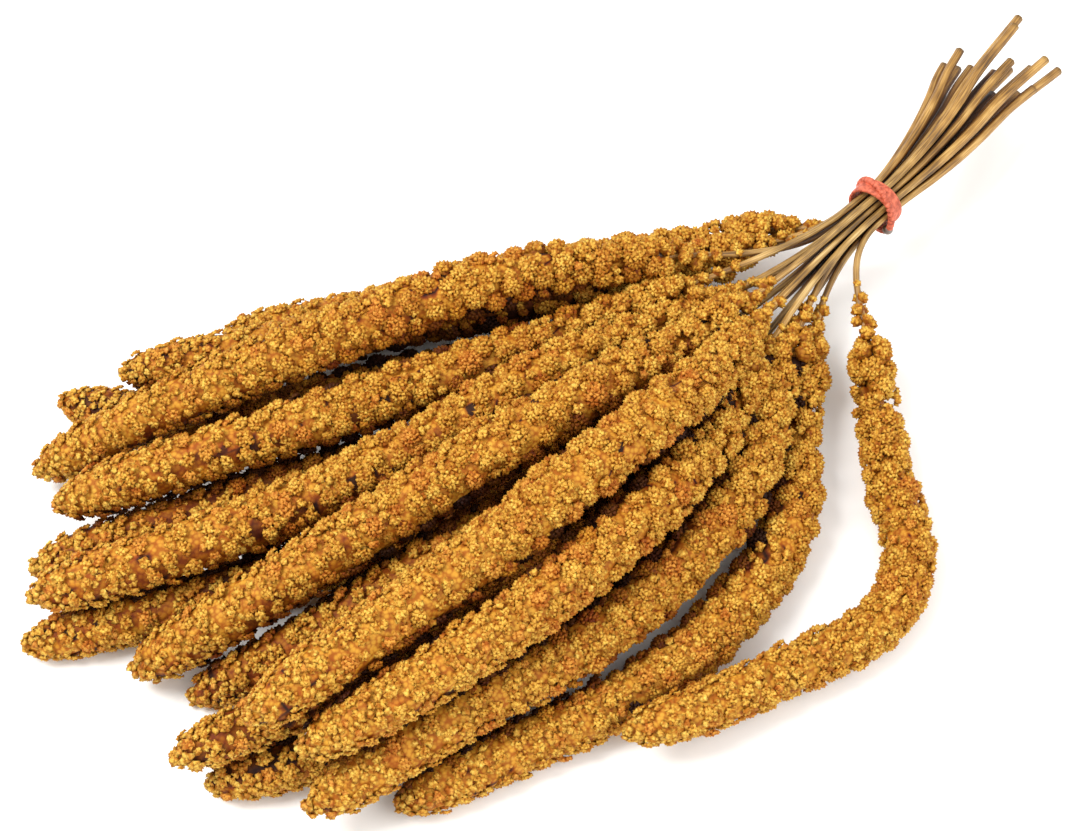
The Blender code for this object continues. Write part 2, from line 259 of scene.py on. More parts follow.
@dataclass(frozen=True)
class StrawFinish:
    """Dried millet straw: fibres run along it, so it is streaked tan and brown with a satin skin."""

    name: str = "dried_millet_straw"
    tones: Stops = ((0.3, "#36260E"), (0.43, "#785A2A"), (0.54, "#A68448"), (0.7, "#D6BC84"))
    ripe: str = "#B8983C"
    # Painted shade: darker where other stems hide the sky, in the creases between them.
    painted_sky_shade: Stops = ((0.1, "#3A2A14"), (0.35, "#B49468"), (0.6, "#FFFFFF"))
    streak_mm: float = 0.5
    streak_length: float = 28.0
    blotch_mm: float = 16.0
    roughness: float = 0.5

    def material(self) -> bpy.types.Material:
        """Builds the straw material, whose streaks run along each stem, with shade painted into it
        between the stems.

        Real fibres are about 0.1 mm wide, and the streaks are 0.5 mm wide so that the render shows them.

        Returns:
            The material.
        """
        material, tree, shader = new_material(self.name)
        fibre = add_node(tree, "ShaderNodeAttribute", {"attribute_name": Reading.FIBRE.value})
        along = add_node(
            tree,
            "ShaderNodeMapping",
            inputs={"Vector": fibre.outputs["Vector"], "Scale": (1 / self.streak_length, 1.0, 1.0)},
        )
        streaks = add_node(
            tree,
            "ShaderNodeTexNoise",
            inputs={"Vector": along.outputs[0], "Scale": 1 / (self.streak_mm * MM), "Detail": 3.0},
        )
        blotches = add_node(
            tree,
            "ShaderNodeTexNoise",
            inputs={"Vector": fibre.outputs["Vector"], "Scale": 1 / (self.blotch_mm * MM), "Detail": 2.0},
        )
        both = add_node(
            tree, "ShaderNodeMix", inputs={0: 0.45, 2: streaks.outputs[0], 3: blotches.outputs[0]}
        )
        ramp = add_node(tree, "ShaderNodeValToRGB", inputs={"Fac": both.outputs[0]})
        set_ramp(ramp, self.tones)
        ripe = add_node(tree, "ShaderNodeAttribute", {"attribute_name": Reading.RIPE.value})
        golden = add_node(
            tree,
            "ShaderNodeMix",
            {"data_type": "RGBA", "blend_type": "OVERLAY"},
            {0: ripe.outputs["Fac"], 6: ramp.outputs[0], 7: linear(self.ripe)},
        )
        # Painted shade from each vertex's share of open sky.
        open_sky = add_node(tree, "ShaderNodeAttribute", {"attribute_name": Reading.OPEN_SKY.value})
        painted_sky_shade = add_node(tree, "ShaderNodeValToRGB", inputs={"Fac": open_sky.outputs["Fac"]})
        set_ramp(painted_sky_shade, self.painted_sky_shade)
        shaded = add_node(
            tree,
            "ShaderNodeMix",
            {"data_type": "RGBA", "blend_type": "MULTIPLY"},
            {0: 1.0, 6: golden.outputs[2], 7: painted_sky_shade.outputs[0]},
        )
        bump = add_node(
            tree,
            "ShaderNodeBump",
            inputs={"Height": streaks.outputs[0], "Strength": 0.8, "Distance": 0.3 * MM},
        )
        tree.links.new(shaded.outputs[2], shader.inputs["Base Color"])
        tree.links.new(bump.outputs[0], shader.inputs["Normal"])
        shader.inputs["Roughness"].default_value = self.roughness
        return material


@dataclass(frozen=True)
class ElasticFinish:
    """Coral rubber elastic: moulded, matt and a little dusty, so its colour is softly mottled."""

    name: str = "coral_rubber_elastic"
    colour: str = "#D4694A"
    shade: str = "#9C4228"
    mottle_mm: float = 1.8
    roughness: float = 0.6

    def material(self) -> bpy.types.Material:
        """Builds the rubber material.

        Returns:
            The material.
        """
        material, tree, shader = new_material(self.name)
        coordinates = add_node(tree, "ShaderNodeTexCoord")
        mottle = add_node(
            tree,
            "ShaderNodeTexNoise",
            inputs={
                "Vector": coordinates.outputs["Object"],
                "Scale": 1 / (self.mottle_mm * MM),
                "Detail": 2.0,
            },
        )
        ramp = add_node(tree, "ShaderNodeValToRGB", inputs={"Fac": mottle.outputs[0]})
        set_ramp(ramp, ((0.35, self.shade), (0.65, self.colour)))
        tree.links.new(ramp.outputs[0], shader.inputs["Base Color"])
        shader.inputs["Roughness"].default_value = self.roughness
        return material


@dataclass(frozen=True)
class ClipFinish:
    """Crimped clip of dull zinc-coated steel, which is grey and only softly bright."""

    name: str = "dull_zinc_clip"
    colour: str = "#8C8078"
    scratch_mm: float = 0.8
    roughness: float = 0.5

    def material(self) -> bpy.types.Material:
        """Builds the clip's metal, whose scratches are drawn 0.8 mm wide so that they show.

        Returns:
            The material.
        """
        material, tree, shader = new_material(self.name)
        coordinates = add_node(tree, "ShaderNodeTexCoord")
        scratches = add_node(
            tree,
            "ShaderNodeTexNoise",
            inputs={
                "Vector": coordinates.outputs["Object"],
                "Scale": 1 / (self.scratch_mm * MM),
                "Detail": 3.0,
            },
        )
        bump = add_node(
            tree,
            "ShaderNodeBump",
            inputs={"Height": scratches.outputs[0], "Strength": 0.5, "Distance": 0.2 * MM},
        )
        tree.links.new(bump.outputs[0], shader.inputs["Normal"])
        shader.inputs["Base Color"].default_value = linear(self.colour)
        shader.inputs["Metallic"].default_value = 1.0
        shader.inputs["Roughness"].default_value = self.roughness
        return material


@dataclass(frozen=True)
class FloorFinish:
    """Matt white paper sheet, which gives the eye an even pale ground."""

    name: str = "white_paper"
    colour: str = "#FAFAF8"
    roughness: float = 0.9

    def material(self) -> bpy.types.Material:
        """Builds the paper material.

        Returns:
            The material.
        """
        material, _, shader = new_material(self.name)
        shader.inputs["Base Color"].default_value = linear(self.colour)
        shader.inputs["Roughness"].default_value = self.roughness
        return material


class TubeOfFrame:
    """Rings and centre line of a tube-shaped node of the frame."""

    def __init__(self, node: str, sides: int, end: Vector) -> None:
        """Reads the rings of a node.

        Args:
            node: Name of the node.
            sides: Number of vertices of each ring.
            end: Point beyond the end that the rings are counted from.
        """
        self.rings = self._read_rings(node, sides, end)
        self.centres = np.array([self._centre(ring) for ring in self.rings])
        steps = np.linalg.norm(np.diff(self.centres, axis=0), axis=1)
        self.along = np.concatenate([[0.0], np.cumsum(steps)])
        self.slopes = np.gradient(self.centres, self.along, axis=0)
        reach = [np.linalg.norm(ring - centre, axis=1) for ring, centre in zip(self.rings, self.centres)]
        self.radii = np.array([distances.max() for distances in reach])

    @property
    def length(self) -> float:
        """Length of the centre line in metres."""
        return float(self.along[-1])

    @staticmethod
    def _read_rings(node: str, sides: int, end: Vector) -> list[np.ndarray]:
        """Walks along the welded mesh, ring by ring, over the vertices that the floor doesn't press.

        Args:
            node: Name of the node.
            sides: Number of vertices of each ring.
            end: Point beyond the end that the rings are counted from.

        Returns:
            The vertices of each ring in metres.
        """
        bm = bmesh.new()
        bm.from_mesh(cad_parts[node].data)
        bmesh.ops.remove_doubles(bm, verts=bm.verts, dist=WELD)
        bm.verts.index_update()
        standing = [vert for vert in bm.verts if vert.co.z > FLOOR_TOUCH]
        ring = sorted(standing, key=lambda vert: (vert.co - end).length)[:sides]
        seen = set(ring)
        rings = []
        while ring:
            rings.append(np.array([vert.co[:] for vert in ring]))
            beyond = {edge.other_vert(vert) for vert in ring for edge in vert.link_edges}
            fresh = [vert for vert in beyond - seen if vert.co.z > FLOOR_TOUCH]
            ring = sorted(fresh, key=lambda vert: vert.index)
            seen.update(ring)
        bm.free()
        return rings

    @staticmethod
    def _centre(ring: np.ndarray) -> np.ndarray:
        """Centre of the circle that fits a ring best.

        Args:
            ring: The ring's vertices in metres.

        Returns:
            The centre in metres.
        """
        middle = ring.mean(axis=0)
        axes = np.linalg.svd(ring - middle)[2][:2]
        flat = (ring - middle) @ axes.T / MM
        sides = np.column_stack([2 * flat, np.ones(len(flat))])
        fitted = np.linalg.lstsq(sides, (flat ** 2).sum(axis=1), rcond=None)[0]
        return middle + fitted[:2] @ axes * MM

    def point(self, distance: float) -> Vector:
        """Point of the smooth centre line at a distance from its first end.

        Args:
            distance: Distance along the line in metres.

        Returns:
            The point in metres.
        """
        k = int(np.clip(np.searchsorted(self.along, distance) - 1, 0, len(self.along) - 2))
        width = self.along[k + 1] - self.along[k]
        t = (distance - self.along[k]) / width
        near = (2 * t ** 3 - 3 * t ** 2 + 1) * self.centres[k]
        near += (t ** 3 - 2 * t ** 2 + t) * width * self.slopes[k]
        far = (3 * t ** 2 - 2 * t ** 3) * self.centres[k + 1]
        far += (t ** 3 - t ** 2) * width * self.slopes[k + 1]
        return Vector(near + far)

    def heading(self, distance: float) -> Vector:
        """Unit vector along the line at a distance from its first end."""
        step = 0.5 * MM
        return (self.point(distance + step) - self.point(distance - step)).normalized()

    def radius(self, distance: float) -> float:
        """Largest radius of the tube at a distance from its first end."""
        return float(np.interp(distance, self.along, self.radii))

    def arm(self, distance: float, angle: float) -> Vector:
        """Unit vector away from the line.

        Args:
            distance: Distance along the line in metres.
            angle: Direction round the line in radians.

        Returns:
            The direction, square to the line.
        """
        heading = self.heading(distance)
        side = heading.cross(Vector((0.0, 0.0, 1.0))).normalized()
        return side * math.cos(angle) + side.cross(heading) * math.sin(angle)

    def place(self, distance: float, angle: float, radius: float) -> Vector:
        """Point beside the line.

        Args:
            distance: Distance along the line in metres.
            angle: Direction round the line in radians.
            radius: Distance from the line in metres.

        Returns:
            The point in metres.
        """
        return self.point(distance) + self.arm(distance, angle) * radius


def sleeve(lengths: int, sides: int, place: Callable[[float, float], Vector]) -> bmesh.types.BMesh:
    """Wraps a flat grid into a closed tube.

    Args:
        lengths: Number of faces along the tube.
        sides: Number of faces round the tube.
        place: Gives the point at a share of the length and a share of the turn.

    Returns:
        The tube with welded seam, closed ends and outward faces.
    """
    bm = bmesh.new()
    bmesh.ops.create_grid(bm, x_segments=lengths, y_segments=sides, size=1.0)
    for vert in bm.verts:
        vert.co = place((vert.co.x + 1) / 2, (vert.co.y + 1) / 2)
    bmesh.ops.remove_doubles(bm, verts=bm.verts, dist=WELD)
    open_edges = [edge for edge in bm.edges if edge.is_boundary]
    bmesh.ops.holes_fill(bm, edges=open_edges, sides=0)
    bmesh.ops.recalc_face_normals(bm, faces=bm.faces)
    return bm


def add_piece(
    name: str,
    bm: bmesh.types.BMesh,
    materials: Iterable[bpy.types.Material],
    slot: Slot,
    nodes: Iterable[str],
) -> bpy.types.Object:
    """Makes an object that rides on the bunch and stands for nodes of the frame.

    Args:
        name: Name of the piece.
        bm: Mesh of the piece, which is freed.
        materials: Materials in the order of the faces' material numbers.
        slot: Material slot of the piece, which is not used.
        nodes: Nodes of the frame that the piece replaces.

    Returns:
        The new object.
    """
    mesh = bpy.data.meshes.new(name)
    bm.to_mesh(mesh)
    bm.free()
    for material in materials:
        mesh.materials.append(material)
    piece = bpy.data.objects.new(name, mesh)
    bpy.context.scene.collection.objects.link(piece)
    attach(piece, "root")
    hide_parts(*nodes)
    LOG.info("%s: %d triangles", name, sum(len(face.vertices) - 2 for face in mesh.polygons))
    return piece


def store(mesh: bpy.types.Mesh, reading: Reading, values: np.ndarray) -> None:
    """Stores a number or a vector for each vertex, for the materials to read.

    Args:
        mesh: Mesh that gets the attribute.
        reading: What the values stand for.
        values: One number, or three, for each vertex.
    """
    kind, field = ("FLOAT_VECTOR", "vector") if values.ndim == 2 else ("FLOAT", "value")
    attribute = mesh.attributes.new(reading.value, kind, "POINT")
    attribute.data.foreach_set(field, values.astype(np.float32).ravel())


class Pile:
    """Closed surfaces of like nodes of the frame, which hide the sky from one another; the share of open
    sky sets a painted shade.
    """

    def __init__(self, nodes: Iterable[str], rays: int, reach: float) -> None:
        """Builds the search tree.

        Args:
            nodes: Names of the nodes.
            rays: Number of directions that are looked into from a point.
            reach: Distance in metres that is looked.
        """
        bm = bmesh.new()
        for name in nodes:
            bm.from_mesh(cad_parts[name].data)
        self.tree = BVHTree.FromBMesh(bm)
        bm.free()
        self.rays = rays
        self.reach = reach

    def open_sky(self, point: Vector, outward: Vector) -> float:
        """Share of the directions round a point's outward direction in which no node stands.

        Args:
            point: Point outside the nodes in metres.
            outward: Middle of the directions.

        Returns:
            Share from 0 to 1.
        """
        turned = outward.to_track_quat("Z", "Y")
        free = 0
        for k in range(self.rays):
            rise = math.sqrt(1 - (k + 0.5) / self.rays)
            flat = math.sqrt(1 - rise * rise)
            turn = k * GOLDEN_TURN
            ray = turned @ Vector((flat * math.cos(turn), flat * math.sin(turn), rise))
            free += self.tree.ray_cast(point, ray, self.reach)[0] is None
        return free / self.rays


class Cluster:
    """A ball of seeds of unit radius, which the heads repeat in many sizes.

    Each seed is a three-sided pyramid of four triangles, because a head has thousands of them. A ball
    whose seeds reach far down its sides also has a plain sphere inside, and a flat cap has none.
    """

    WHOLE_BALL_POLAR = 60.0
    INNER_DEPTH = 0.55
    SEED_DEPTH = 1.1
    SUNK_SHARE = 0.55

    def __init__(self, seeds: int, seed_size: float, lowest_polar: float, chance: random.Random) -> None:
        """Builds the seeds of the ball round the direction of its Z axis.

        Args:
            seeds: Number of seeds on the ball.
            seed_size: Half width of a seed as a share of the ball's radius.
            lowest_polar: Angle in degrees between the Z axis and the outermost seeds.
            chance: Source of the seeds' unevenness.
        """
        bm = bmesh.new()
        inside = []
        if lowest_polar > self.WHOLE_BALL_POLAR:
            inner = 1 - self.INNER_DEPTH * seed_size
            inside = bmesh.ops.create_icosphere(bm, subdivisions=1, radius=inner)["verts"]
        tones = [0.3] * len(inside)
        # Painted shade: the inner sphere lies under the seeds, so it is given a dark value.
        shade_lifts = [0.1] * len(inside)
        lowest = math.cos(math.radians(lowest_polar))
        for k in range(seeds):
            rise = 1 - (1 - lowest) * (k + 0.35) / seeds
            polar = math.acos(rise) + chance.uniform(-0.3, 0.3) * seed_size
            turn = k * GOLDEN_TURN + chance.uniform(-0.35, 0.35) * seed_size
            flat = math.sin(polar)
            stand = Vector((flat * math.cos(turn), flat * math.sin(turn), math.cos(polar)))
            made = bmesh.ops.create_cone(
                bm,
                cap_ends=True,
                segments=3,
                radius1=seed_size,
                radius2=0.0,
                depth=seed_size * self.SEED_DEPTH,
            )["verts"]
            tall = chance.uniform(0.75, 1.2)
            turned = stand.to_track_quat("Z", "Y").to_matrix().to_4x4()
            spin = Matrix.Rotation(chance.uniform(0, 2 * math.pi), 4, "Z")
            squash = Matrix.Diagonal((chance.uniform(0.85, 1.1), 1.0, tall, 1.0))
            sunk = 1 - seed_size * self.SUNK_SHARE * tall
            bmesh.ops.transform(
                bm, matrix=Matrix.Translation(stand * sunk) @ turned @ spin @ squash, verts=made
            )
            tone = chance.random()
            for vert in made:
                tones.append(tone)
                # Painted shade: a seed's base is darker than its tip, and seeds low on the ball's side
                # darker than those on top.
                at_top = vert.co.length > 1 - 0.4 * seed_size
                shade_lifts.append(0.5 * math.cos(min(0.85 * polar, 1.5)) + (0.5 if at_top else 0.12))
        self.mesh = bpy.data.meshes.new("cluster")
        bm.to_mesh(self.mesh)
        bm.free()
        self.tones = np.array(tones)
        self.shade_lifts = np.array(shade_lifts)


@dataclass(frozen=True)
class Spot:
    """Where a cluster stands on a head, and how large, flat and bright it is."""

    top: Vector
    outward: Vector
    heading: Vector
    size_mm: float
    flat: float
    tone: float
    buried: bool = False


@dataclass(frozen=True)
class SeedHeads:
    """All seed heads, each a grainy core that is covered in clusters of seeds.

    The four layers of clusters are the frame's raised corners, its lower corners, places between them
    and deeper gaps. Stations are shares of a head's length from the stem, whose sizes, flatness and
    core depth are given beside them. Buried clusters show only their tops, so they are flat caps.
    """

    count: int
    tie_centre: Vector
    seed_half_mm: float = 1.75
    seed_pitch_mm: float = 2.15
    fewest_seeds: int = 5
    sizes_mm: tuple[float, ...] = (1.9, 2.6, 3.3, 4.0, 4.8, 5.6, 6.3)
    core_depth_mm: tuple[float, float] = (3.4, 1.2)
    core_pitch_mm: float = 4.0
    core_sides: int = 16
    core_unevenness_mm: float = 0.6
    # Painted shade: the core between the clusters takes this darker value.
    core_shade_lift: float = 0.4
    variants: int = 5
    lowest_polar: tuple[float, float] = (78.0, 56.0)
    layer_scales: tuple[float, ...] = (1.04, 0.94, 0.62, 0.45)
    layer_rooms: tuple[float, ...] = (0.78, 0.76, 0.58, 0.46)
    least_flat: float = 0.75
    buried_scale: float = 0.7
    buried_flat: float = 0.8
    surface_share: float = 0.9
    fillers: int = 900
    tip_fillers: int = 250
    tip_reach_mm: float = 40.0
    tip_size_mm: float = 3.6
    gap_fillers: int = 900
    gap_depth_mm: float = 2.1
    gap_start: float = 0.42
    size_stations: tuple[float, ...] = (0.0, 0.3, 0.6, 0.9, 1.0)
    usual_sizes_mm: tuple[float, ...] = (5.9, 5.9, 5.3, 4.5, 3.2)
    flat_stations: tuple[float, float] = (0.35, 0.9)
    flats: tuple[float, float] = (1.0, 0.55)
    base_reach_mm: float = 70.0
    base_bulge_mm: float = 5.6
    stand_out_mm: float = 0.9
    shift_mm: float = 1.8
    turn_aside: float = 0.14
    loose: int = 20
    loose_reach_mm: float = 40.0
    loose_size_mm: float = 5.4
    loose_shrink_mm: float = 2.8
    loose_spread_mm: float = 6.0
    sky_reach_mm: float = 90.0
    sky_start_mm: float = 1.5
    seed: int = 11

    def build(self, husk: bpy.types.Material) -> list[bpy.types.Object]:
        """Builds every head.

        Args:
            husk: Material of the seeds.

        Returns:
            One object for each head.
        """
        chance = random.Random(self.seed)
        nodes = [f"head_{number:02d}" for number in range(1, self.count + 1)]
        pile = Pile(nodes, rays=40, reach=self.sky_reach_mm * MM)
        kinds = {
            (size, buried): self._clusters(size, self.lowest_polar[buried], chance)
            for size in self.sizes_mm
            for buried in (False, True)
        }
        return [self._head(number, kinds, pile, husk, chance) for number in range(1, self.count + 1)]

    def _clusters(self, radius_mm: float, lowest_polar: float, chance: random.Random) -> list[Cluster]:
        """Makes clusters of one size, whose seeds keep their real size.

        Args:
            radius_mm: Radius that the clusters will have on the head.
            lowest_polar: Angle in degrees between the middle of a cluster and its outermost seeds.
            chance: Source of the seeds' unevenness.

        Returns:
            Clusters of unit radius.
        """
        shown = 2 * math.pi * radius_mm ** 2 * (1 - math.cos(math.radians(lowest_polar)))
        # The seeds lie like the cells of a honeycomb, whose area is 0.866 of the pitch squared.
        seeds = max(self.fewest_seeds, round(shown / (0.866 * self.seed_pitch_mm ** 2)))
        size = self.seed_half_mm / radius_mm
        return [Cluster(seeds, size, lowest_polar, chance) for _ in range(self.variants)]

    def _head(
        self,
        number: int,
        kinds: dict[tuple[float, bool], list[Cluster]],
        pile: Pile,
        husk: bpy.types.Material,
        chance: random.Random,
    ) -> bpy.types.Object:
        """Builds one head.

        Args:
            number: Number of the head.
            kinds: Clusters by their radius in millimetres and by whether they are buried.
            pile: The heads that hide the sky from the clusters, for their painted shade.
            husk: Material of the seeds.
            chance: Source of the head's unevenness.

        Returns:
            The head.
        """
        node = f"head_{number:02d}"
        tube = TubeOfFrame(node, HEAD_SIDES, self.tie_centre)
        stem = TubeOfFrame(f"stem_{number:02d}", STEM_SIDES, self.tie_centre + BEYOND_CUT)
        bm = self._core(tube, chance)
        spots = self._spots(tube, chance) + self._loose_spots(stem, chance)
        start = self.sky_start_mm
        # Painted shade: each cluster's share of open sky darkens its colour where other heads cover it.
        open_to = [pile.open_sky(spot.top + spot.outward * start * MM, spot.outward) for spot in spots]
        tops = np.array([spot.top for spot in spots])
        nearest = [int(np.abs(tops - np.array(vert.co)).sum(axis=1).argmin()) for vert in bm.verts]
        tones = [np.array([spots[k].tone for k in nearest])]
        seeds = [np.array([chance.random() for _ in nearest])]
        # Painted shade: the core vertices take the darker core value.
        shade_lifts = [np.full(len(nearest), self.core_shade_lift)]
        skies = [np.array([open_to[k] for k in nearest])]
        for spot, sky in zip(spots, open_to):
            size = min(self.sizes_mm, key=lambda known: abs(known - spot.size_mm))
            cluster = chance.choice(kinds[size, spot.buried])
            ball = cluster.mesh.copy()
            ball.transform(self._stand(spot, chance))
            bm.from_mesh(ball)
            bpy.data.meshes.remove(ball)
            many = len(cluster.tones)
            tones.append(np.full(many, spot.tone))
            seeds.append(cluster.tones)
            shade_lifts.append(cluster.shade_lifts)
            skies.append(np.full(many, sky))
        for vert in bm.verts:
            vert.co.z = max(vert.co.z, 0.0)
        for face in bm.faces:
            face.smooth = True
        piece = add_piece(f"seed_head_{number:02d}", bm, (husk,), Slot.SEED, (node,))
        store(piece.data, Reading.CLUSTER_TONE, np.concatenate(tones))
        store(piece.data, Reading.SEED_TONE, np.concatenate(seeds))
        store(piece.data, Reading.SHADE_LIFT, np.concatenate(shade_lifts))
        store(piece.data, Reading.OPEN_SKY, np.concatenate(skies))
        return piece

    def _core(self, tube: TubeOfFrame, chance: random.Random) -> bmesh.types.BMesh:
        """Closed uneven core under the clusters.

        Args:
            tube: Rings of the head in the frame.
            chance: Source of the core's unevenness.

        Returns:
            The core.
        """
        def place(share: float, turn: float) -> Vector:
            """Point of the core at a share of its length and of its turn."""
            distance = share * (tube.length - 1 * MM)
            radius = tube.radius(distance)
            depth = float(np.interp(share, (0.4, 1.0), self.core_depth_mm)) * MM
            return tube.place(distance, 2 * math.pi * turn, max(radius - depth, 0.5 * radius))

        bm = sleeve(round(tube.length / (self.core_pitch_mm * MM)), self.core_sides, place)
        for vert in bm.verts:
            uneven = self.core_unevenness_mm
            vert.co += Vector([chance.uniform(-uneven, uneven) * MM for _ in range(3)])
        return bm

    @staticmethod
    def _stand(spot: Spot, chance: random.Random) -> Matrix:
        """Gives the matrix from a ball of unit radius to a cluster, which leans along the head.

        Args:
            spot: Where the cluster stands.
            chance: Source of its lean and spin.

        Returns:
            The matrix.
        """
        stand = (spot.outward + spot.heading * chance.uniform(0.15, 0.55)).normalized()
        turned = stand.to_track_quat("Z", "Y").to_matrix().to_4x4()
        spin = Matrix.Rotation(chance.uniform(0, 2 * math.pi), 4, "Z")
        middle = spot.top - spot.outward * spot.size_mm * spot.flat * MM
        scale = Matrix.Diagonal((1.0, 1.0, spot.flat, 1.0)) @ Matrix.Scale(spot.size_mm * MM, 4)
        return Matrix.Translation(middle) @ turned @ spin @ scale

    def _spots(self, tube: TubeOfFrame, chance: random.Random) -> list[Spot]:
        """Chooses where the clusters of a head stand.

        The raised corners of the frame come first, then its lower corners, random places and deeper
        random places. Each cluster is kept where the ones before it leave room.

        Args:
            tube: Rings of the head in the frame.
            chance: Source of the clusters' unevenness.

        Returns:
            Spots of the clusters.
        """
        high, low = [], []
        for k, ring in enumerate(tube.rings):
            arms = ring - tube.centres[k]
            reach = np.linalg.norm(arms, axis=1)
            for arm, radius in zip(arms, reach):
                (high if radius >= np.median(reach) else low).append((tube.along[k], Vector(arm)))
        chance.shuffle(high)
        chance.shuffle(low)
        between = self._random_places(tube, self.fillers, 0.0, 0.0, chance)
        near_tip = tube.length - self.tip_reach_mm * MM
        between += self._random_places(tube, self.tip_fillers, near_tip, 0.0, chance)
        gap_start = self.gap_start * tube.length
        gaps = self._random_places(tube, self.gap_fillers, gap_start, self.gap_depth_mm * MM, chance)
        spots = [self._spot_at_tip(tube, chance)]
        tops = np.array([spots[0].top])
        sizes = np.array([spots[0].size_mm])
        for places, scale, room in zip((high, low, between, gaps), self.layer_scales, self.layer_rooms):
            for distance, arm in places:
                spot = self._spot(tube, distance, arm, scale, chance)
                apart = np.linalg.norm(tops - np.array(spot.top), axis=1)
                if np.all(apart > room * max(spot.flat, self.least_flat) * (sizes + spot.size_mm) * MM):
                    spots.append(spot)
                    tops = np.vstack([tops, spot.top])
                    sizes = np.append(sizes, spot.size_mm)
        return spots

    def _random_places(
        self, tube: TubeOfFrame, count: int, nearest: float, depth: float, chance: random.Random
    ) -> list[tuple[float, Vector]]:
        """Random places on a head.

        Args:
            tube: Rings of the head in the frame.
            count: Number of places.
            nearest: Least distance along the head in metres.
            depth: Depth under the usual surface in metres.
            chance: Source of the places.

        Returns:
            Distance along the head and vector from its centre line of each place.
        """
        places = []
        for _ in range(count):
            distance = chance.uniform(nearest, tube.length)
            reach = tube.radius(distance) * self.surface_share - depth
            places.append((distance, tube.arm(distance, chance.uniform(0, 2 * math.pi)) * reach))
        return places

    def _spot(
        self, tube: TubeOfFrame, distance: float, arm: Vector, scale: float, chance: random.Random
    ) -> Spot:
        """Spot of one cluster, loose and large near the stem, flat and small near the tip.

        Args:
            tube: Rings of the head in the frame.
            distance: Distance along the head in metres.
            arm: Vector from the centre line to the frame's surface.
            scale: Size of the cluster beside the usual one at its place.
            chance: Source of the cluster's unevenness.

        Returns:
            The spot.
        """
        share = distance / tube.length
        base = max(0.0, 1 - distance / (self.base_reach_mm * MM))
        shift = chance.uniform(-self.shift_mm, self.shift_mm) * MM
        moved = min(max(distance + shift, 0.0), tube.length)
        heading = tube.heading(moved)
        turned = Matrix.Rotation(chance.uniform(-self.turn_aside, self.turn_aside), 3, heading) @ arm
        size = np.interp(share, self.size_stations, self.usual_sizes_mm)
        size = float(size) * scale * chance.uniform(0.86, 1.1)
        outward = turned.normalized()
        flat = float(np.interp(share, self.flat_stations, self.flats))
        bulge = self.base_bulge_mm * base * chance.uniform(0.65, 1.0)
        uneven = chance.uniform(-0.9, 1.1) * flat
        radius = turned.length + (self.stand_out_mm + bulge + uneven) * MM
        tone = min(1.0, chance.random() + 0.35 * base * chance.random())
        top = tube.point(moved) + outward * radius
        buried = scale < self.buried_scale or flat < self.buried_flat
        return Spot(top, outward, heading, size, flat, tone, buried)

    def _spot_at_tip(self, tube: TubeOfFrame, chance: random.Random) -> Spot:
        """Gives the spot of the cluster that closes the tip.

        Args:
            tube: Rings of the head in the frame.
            chance: Source of the cluster's tone.

        Returns:
            The spot.
        """
        heading = tube.heading(tube.length - 1 * MM)
        top = tube.point(tube.length) + heading * 1.0 * MM
        return Spot(top, heading, heading, self.tip_size_mm, 1.0, chance.random())

    def _loose_spots(self, stem: TubeOfFrame, chance: random.Random) -> list[Spot]:
        """Chooses where loose, pale clusters stand on the last stretch of the stem.

        Args:
            stem: Rings of the stem in the frame, from its cut end.
            chance: Source of their unevenness.

        Returns:
            Spots of the clusters.
        """
        spots = []
        for k in range(self.loose):
            share = (k / self.loose) ** 1.5
            distance = stem.length - share * self.loose_reach_mm * chance.uniform(0.85, 1.1) * MM
            heading = stem.heading(distance)
            size = (self.loose_size_mm - self.loose_shrink_mm * share) * chance.uniform(0.8, 1.1)
            around = stem.arm(distance, k * GOLDEN_TURN + chance.uniform(-0.5, 0.5))
            outward = (around - heading * chance.uniform(0.2, 0.9)).normalized()
            reach = 1.25 * size + self.loose_spread_mm * (1 - share) ** 2
            reach *= chance.uniform(0.85, 1.15)
            top = stem.point(distance) + outward * reach * MM
            spots.append(Spot(top, outward, -heading, size, 1.0, chance.uniform(0.7, 1.0)))
        return spots


